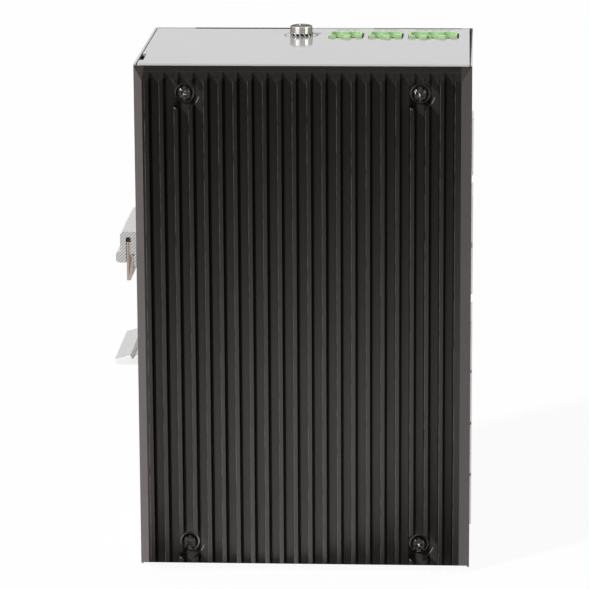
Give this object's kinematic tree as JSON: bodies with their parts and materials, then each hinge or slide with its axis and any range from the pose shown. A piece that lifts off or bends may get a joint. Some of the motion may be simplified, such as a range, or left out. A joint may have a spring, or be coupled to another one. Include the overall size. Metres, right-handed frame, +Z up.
{
  "type": "din rail ethernet switch",
  "caption": "Metal-cased industrial network switch for a 35 mm rail, with a finned heat sink side, pluggable power terminals on top and ports on the front.",
  "frame": {"origin": "on the flat base, under the middle of the case's depth and of its overall width with the heat sink", "axes": "+X to the front (port side), -X to the rail bracket, -Y to the finned side, +Z up"},
  "size_m": [0.1144, 0.0839, 0.1653],
  "materials": {
    "case_sheet": "light grey powder-smooth paint, satin, on folded steel sheet, 1 mm in the chassis and 0.7 mm in the cover",
    "black_anodised": "black anodised, fine milled surface",
    "extruded_aluminium": "plain extruded aluminium, saw-cut ends",
    "spring_steel": "tempered spring steel, lightly straw coloured",
    "black_nickel": "dark nickel plated",
    "zinc_screw": "bright zinc plated",
    "zinc_nut": "bright zinc plated",
    "nickel_screw": "nickel plated, polished",
    "nickel_washer": "nickel plated",
    "green_plastic": "light green polyamide",
    "tinned_pin": "bright tin plate",
    "circuit_board": "green solder resist on glass laminate",
    "black_plastic": "black moulded plastic",
    "spacer_metal": "nickel plated brass hexagon",
    "jack_shield": "nickel plated shield round a moulded jack",
    "cage_metal": "nickel plated copper alloy sheet",
    "lamp_lens": "diffusing lens",
    "chip_package": "moulded package",
    "thermal_silicone": "soft thermal pad",
    "capacitor_can": "sleeved can",
    "transformer_core": "ferrite core with wound coil, as one block",
    "relay_case": "sealed relay case"
  },
  "bodies": {
    "root": {"base_chassis": "case_sheet", "cover": "case_sheet", "heat_sink": "black_anodised", "rail_bracket": "extruded_aluminium", "rail_spring": "spring_steel", "sink_screws": "black_nickel", "cover_screws": "zinc_screw", "bracket_screws": "zinc_screw", "clinch_nuts": "zinc_nut", "ground_screw": "nickel_screw", "ground_washer": "nickel_washer", "ground_nut": "zinc_nut", "terminal_header_1": "green_plastic", "terminal_header_2": "green_plastic", "terminal_header_3": "green_plastic", "header_pins": "tinned_pin", "main_board": "circuit_board", "power_board": "circuit_board", "link_board": "circuit_board", "link_plug_main": "black_plastic", "link_socket_main": "black_plastic", "link_plug_power": "black_plastic", "link_socket_power": "black_plastic", "wall_standoffs": "zinc_nut", "long_spacers": "spacer_metal", "board_screws": "zinc_screw", "port_jack_1": "jack_shield", "port_jack_2": "jack_shield", "port_jack_3": "jack_shield", "port_jack_4": "jack_shield", "module_cage_1": "cage_metal", "module_cage_2": "cage_metal", "console_jack": "jack_shield", "lamp_housing": "black_plastic", "status_lamps": "lamp_lens", "switch_chip": "chip_package", "thermal_pad": "thermal_silicone", "port_chips": "chip_package", "capacitors": "capacitor_can", "power_transformer": "transformer_core", "alarm_relay": "relay_case"}
  },
  "joints": []
}
